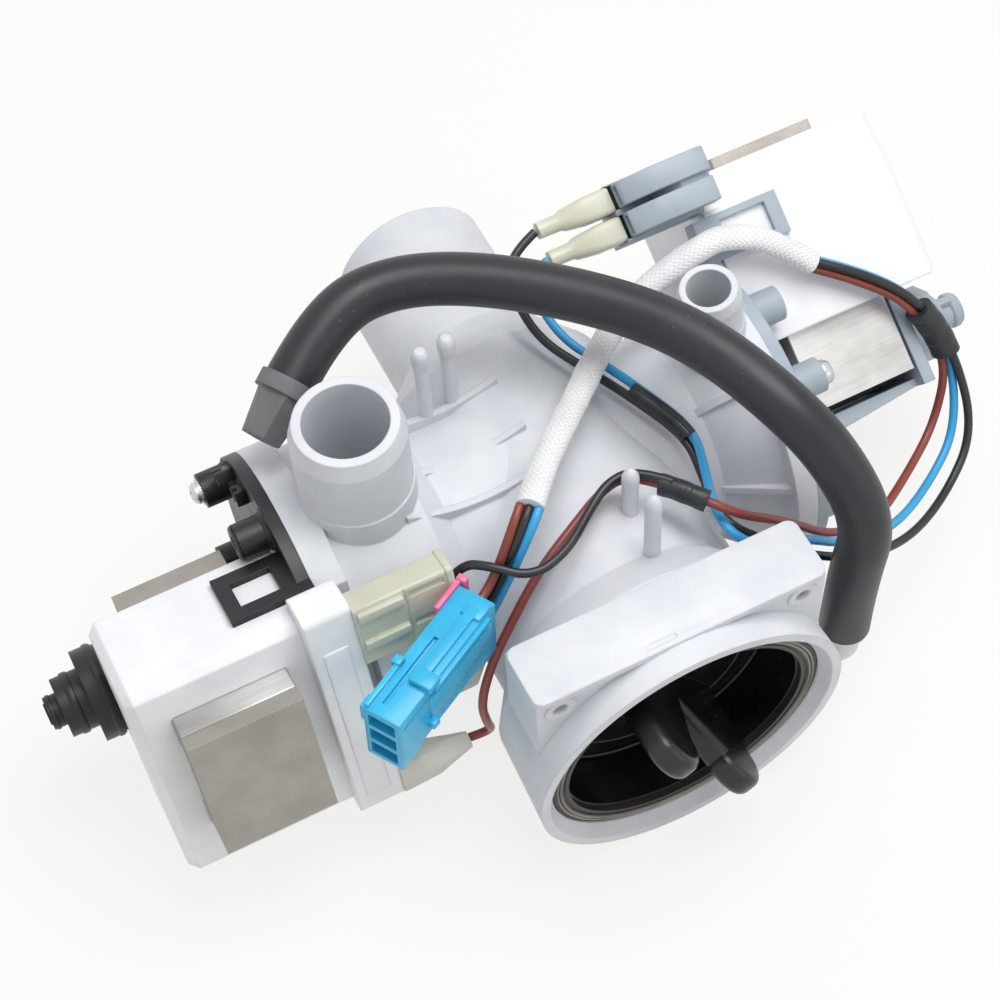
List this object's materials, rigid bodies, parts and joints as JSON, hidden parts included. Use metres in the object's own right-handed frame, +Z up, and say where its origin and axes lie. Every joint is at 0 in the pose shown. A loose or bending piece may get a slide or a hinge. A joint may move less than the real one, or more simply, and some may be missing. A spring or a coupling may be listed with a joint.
{
  "type": "washer drain pump",
  "caption": "Filter barrel with screw-in lint filter, drain pump and circulation pump on one moulded housing, with hose and wiring.",
  "frame": {"origin": "midway between the two bracket screws, on the front face of the bracket", "axes": "+Z up, -Y out of the filter mouth, +X to the circulation pump, -X to the drain pump"},
  "size_m": [0.3188, 0.216, 0.1337],
  "materials": {
    "housing_plastic": "moulded, satin",
    "black_plastic": "moulded, semi-gloss",
    "seal_rubber": "matte",
    "basket_plastic": "moulded, satin",
    "screw_steel": "zinc plated",
    "core_steel": "laminated sheet",
    "white_resin": "moulded, satin",
    "blue_grey_plastic": "moulded, satin",
    "impeller_plastic": "moulded",
    "magnet_ferrite": "sintered, matte",
    "shaft_steel": "ground",
    "bush_bronze": "sintered",
    "terminal_brass": "tinned",
    "cream_plastic": "moulded, milky",
    "clear_plastic": "milky",
    "cyan_plastic": "moulded, satin",
    "pink_plastic": "moulded",
    "hose_rubber": "extruded, dull",
    "grey_rubber": "moulded, dull",
    "sleeve_braid": "braided glass fibre",
    "brown_insulation": "extruded",
    "blue_insulation": "extruded",
    "black_insulation": "extruded",
    "wrap_vinyl": "wound tape"
  },
  "bodies": {
    "housing": {"pump_housing": "housing_plastic", "drain_can": "black_plastic", "drain_plate_screws": "screw_steel", "drain_core": "core_steel", "drain_coil_shell": "white_resin", "circulation_can": "blue_grey_plastic", "circulation_plate_screws": "screw_steel", "circulation_core": "core_steel", "circulation_coil_shell": "white_resin", "drain_bushes": "bush_bronze", "drain_plate_seal": "seal_rubber", "circulation_bushes": "bush_bronze", "circulation_plate_seal": "seal_rubber", "drain_terminals": "terminal_brass", "drain_terminal_housing": "cream_plastic", "circulation_terminal_block": "blue_grey_plastic", "circulation_terminals": "terminal_brass", "circulation_terminal_boots": "cream_plastic", "lower_terminal": "terminal_brass", "lower_terminal_boot": "clear_plastic", "lead_connector": "cyan_plastic", "connector_retainer": "pink_plastic", "residual_hose": "hose_rubber", "braided_sleeve": "sleeve_braid", "connector_leads": "brown_insulation", "brown_lead": "brown_insulation", "blue_lead": "blue_insulation", "black_lead": "black_insulation", "drain_lead": "black_insulation", "harness_wrap": "wrap_vinyl", "lead_tape": "wrap_vinyl", "shrink_sleeve": "wrap_vinyl"},
    "cap_ring": {"cap_seal": "seal_rubber"},
    "cap": {"filter_cap": "black_plastic", "filter_basket": "basket_plastic"},
    "drain_rotor": {"drain_impeller": "impeller_plastic", "drain_magnet": "magnet_ferrite", "drain_shaft": "shaft_steel"},
    "circulation_rotor": {"circulation_impeller": "impeller_plastic", "circulation_magnet": "magnet_ferrite", "circulation_shaft": "shaft_steel"},
    "plug": {"hose_plug": "grey_rubber"}
  },
  "joints": [
    {"name": "cap_slide", "type": "slide", "parent": "housing", "child": "cap_ring", "axis": [0, -1, 0], "range_m": [0, 0.006]},
    {"name": "cap_turn", "type": "hinge", "parent": "cap_ring", "child": "cap", "pos_m": [0, 0, -0.042], "axis": [0, -1, 0], "range_deg": [0, 360]},
    {"name": "drain_spin", "type": "hinge", "parent": "housing", "child": "drain_rotor", "pos_m": [-0.083, 0.089, -0.042], "axis": [1, 0, 0], "continuous": true},
    {"name": "circulation_spin", "type": "hinge", "parent": "housing", "child": "circulation_rotor", "pos_m": [0.071, 0.089, -0.042], "axis": [1, 0, 0], "continuous": true},
    {"name": "plug_pull", "type": "slide", "parent": "housing", "child": "plug", "axis": [-0.7808, -0.5052, -0.3675], "range_m": [0, 0.008]}
  ],
  "couplings": [
    {"joint": "cap_slide", "follows": "cap_turn", "m_per_rad": 0.00095}
  ]
}
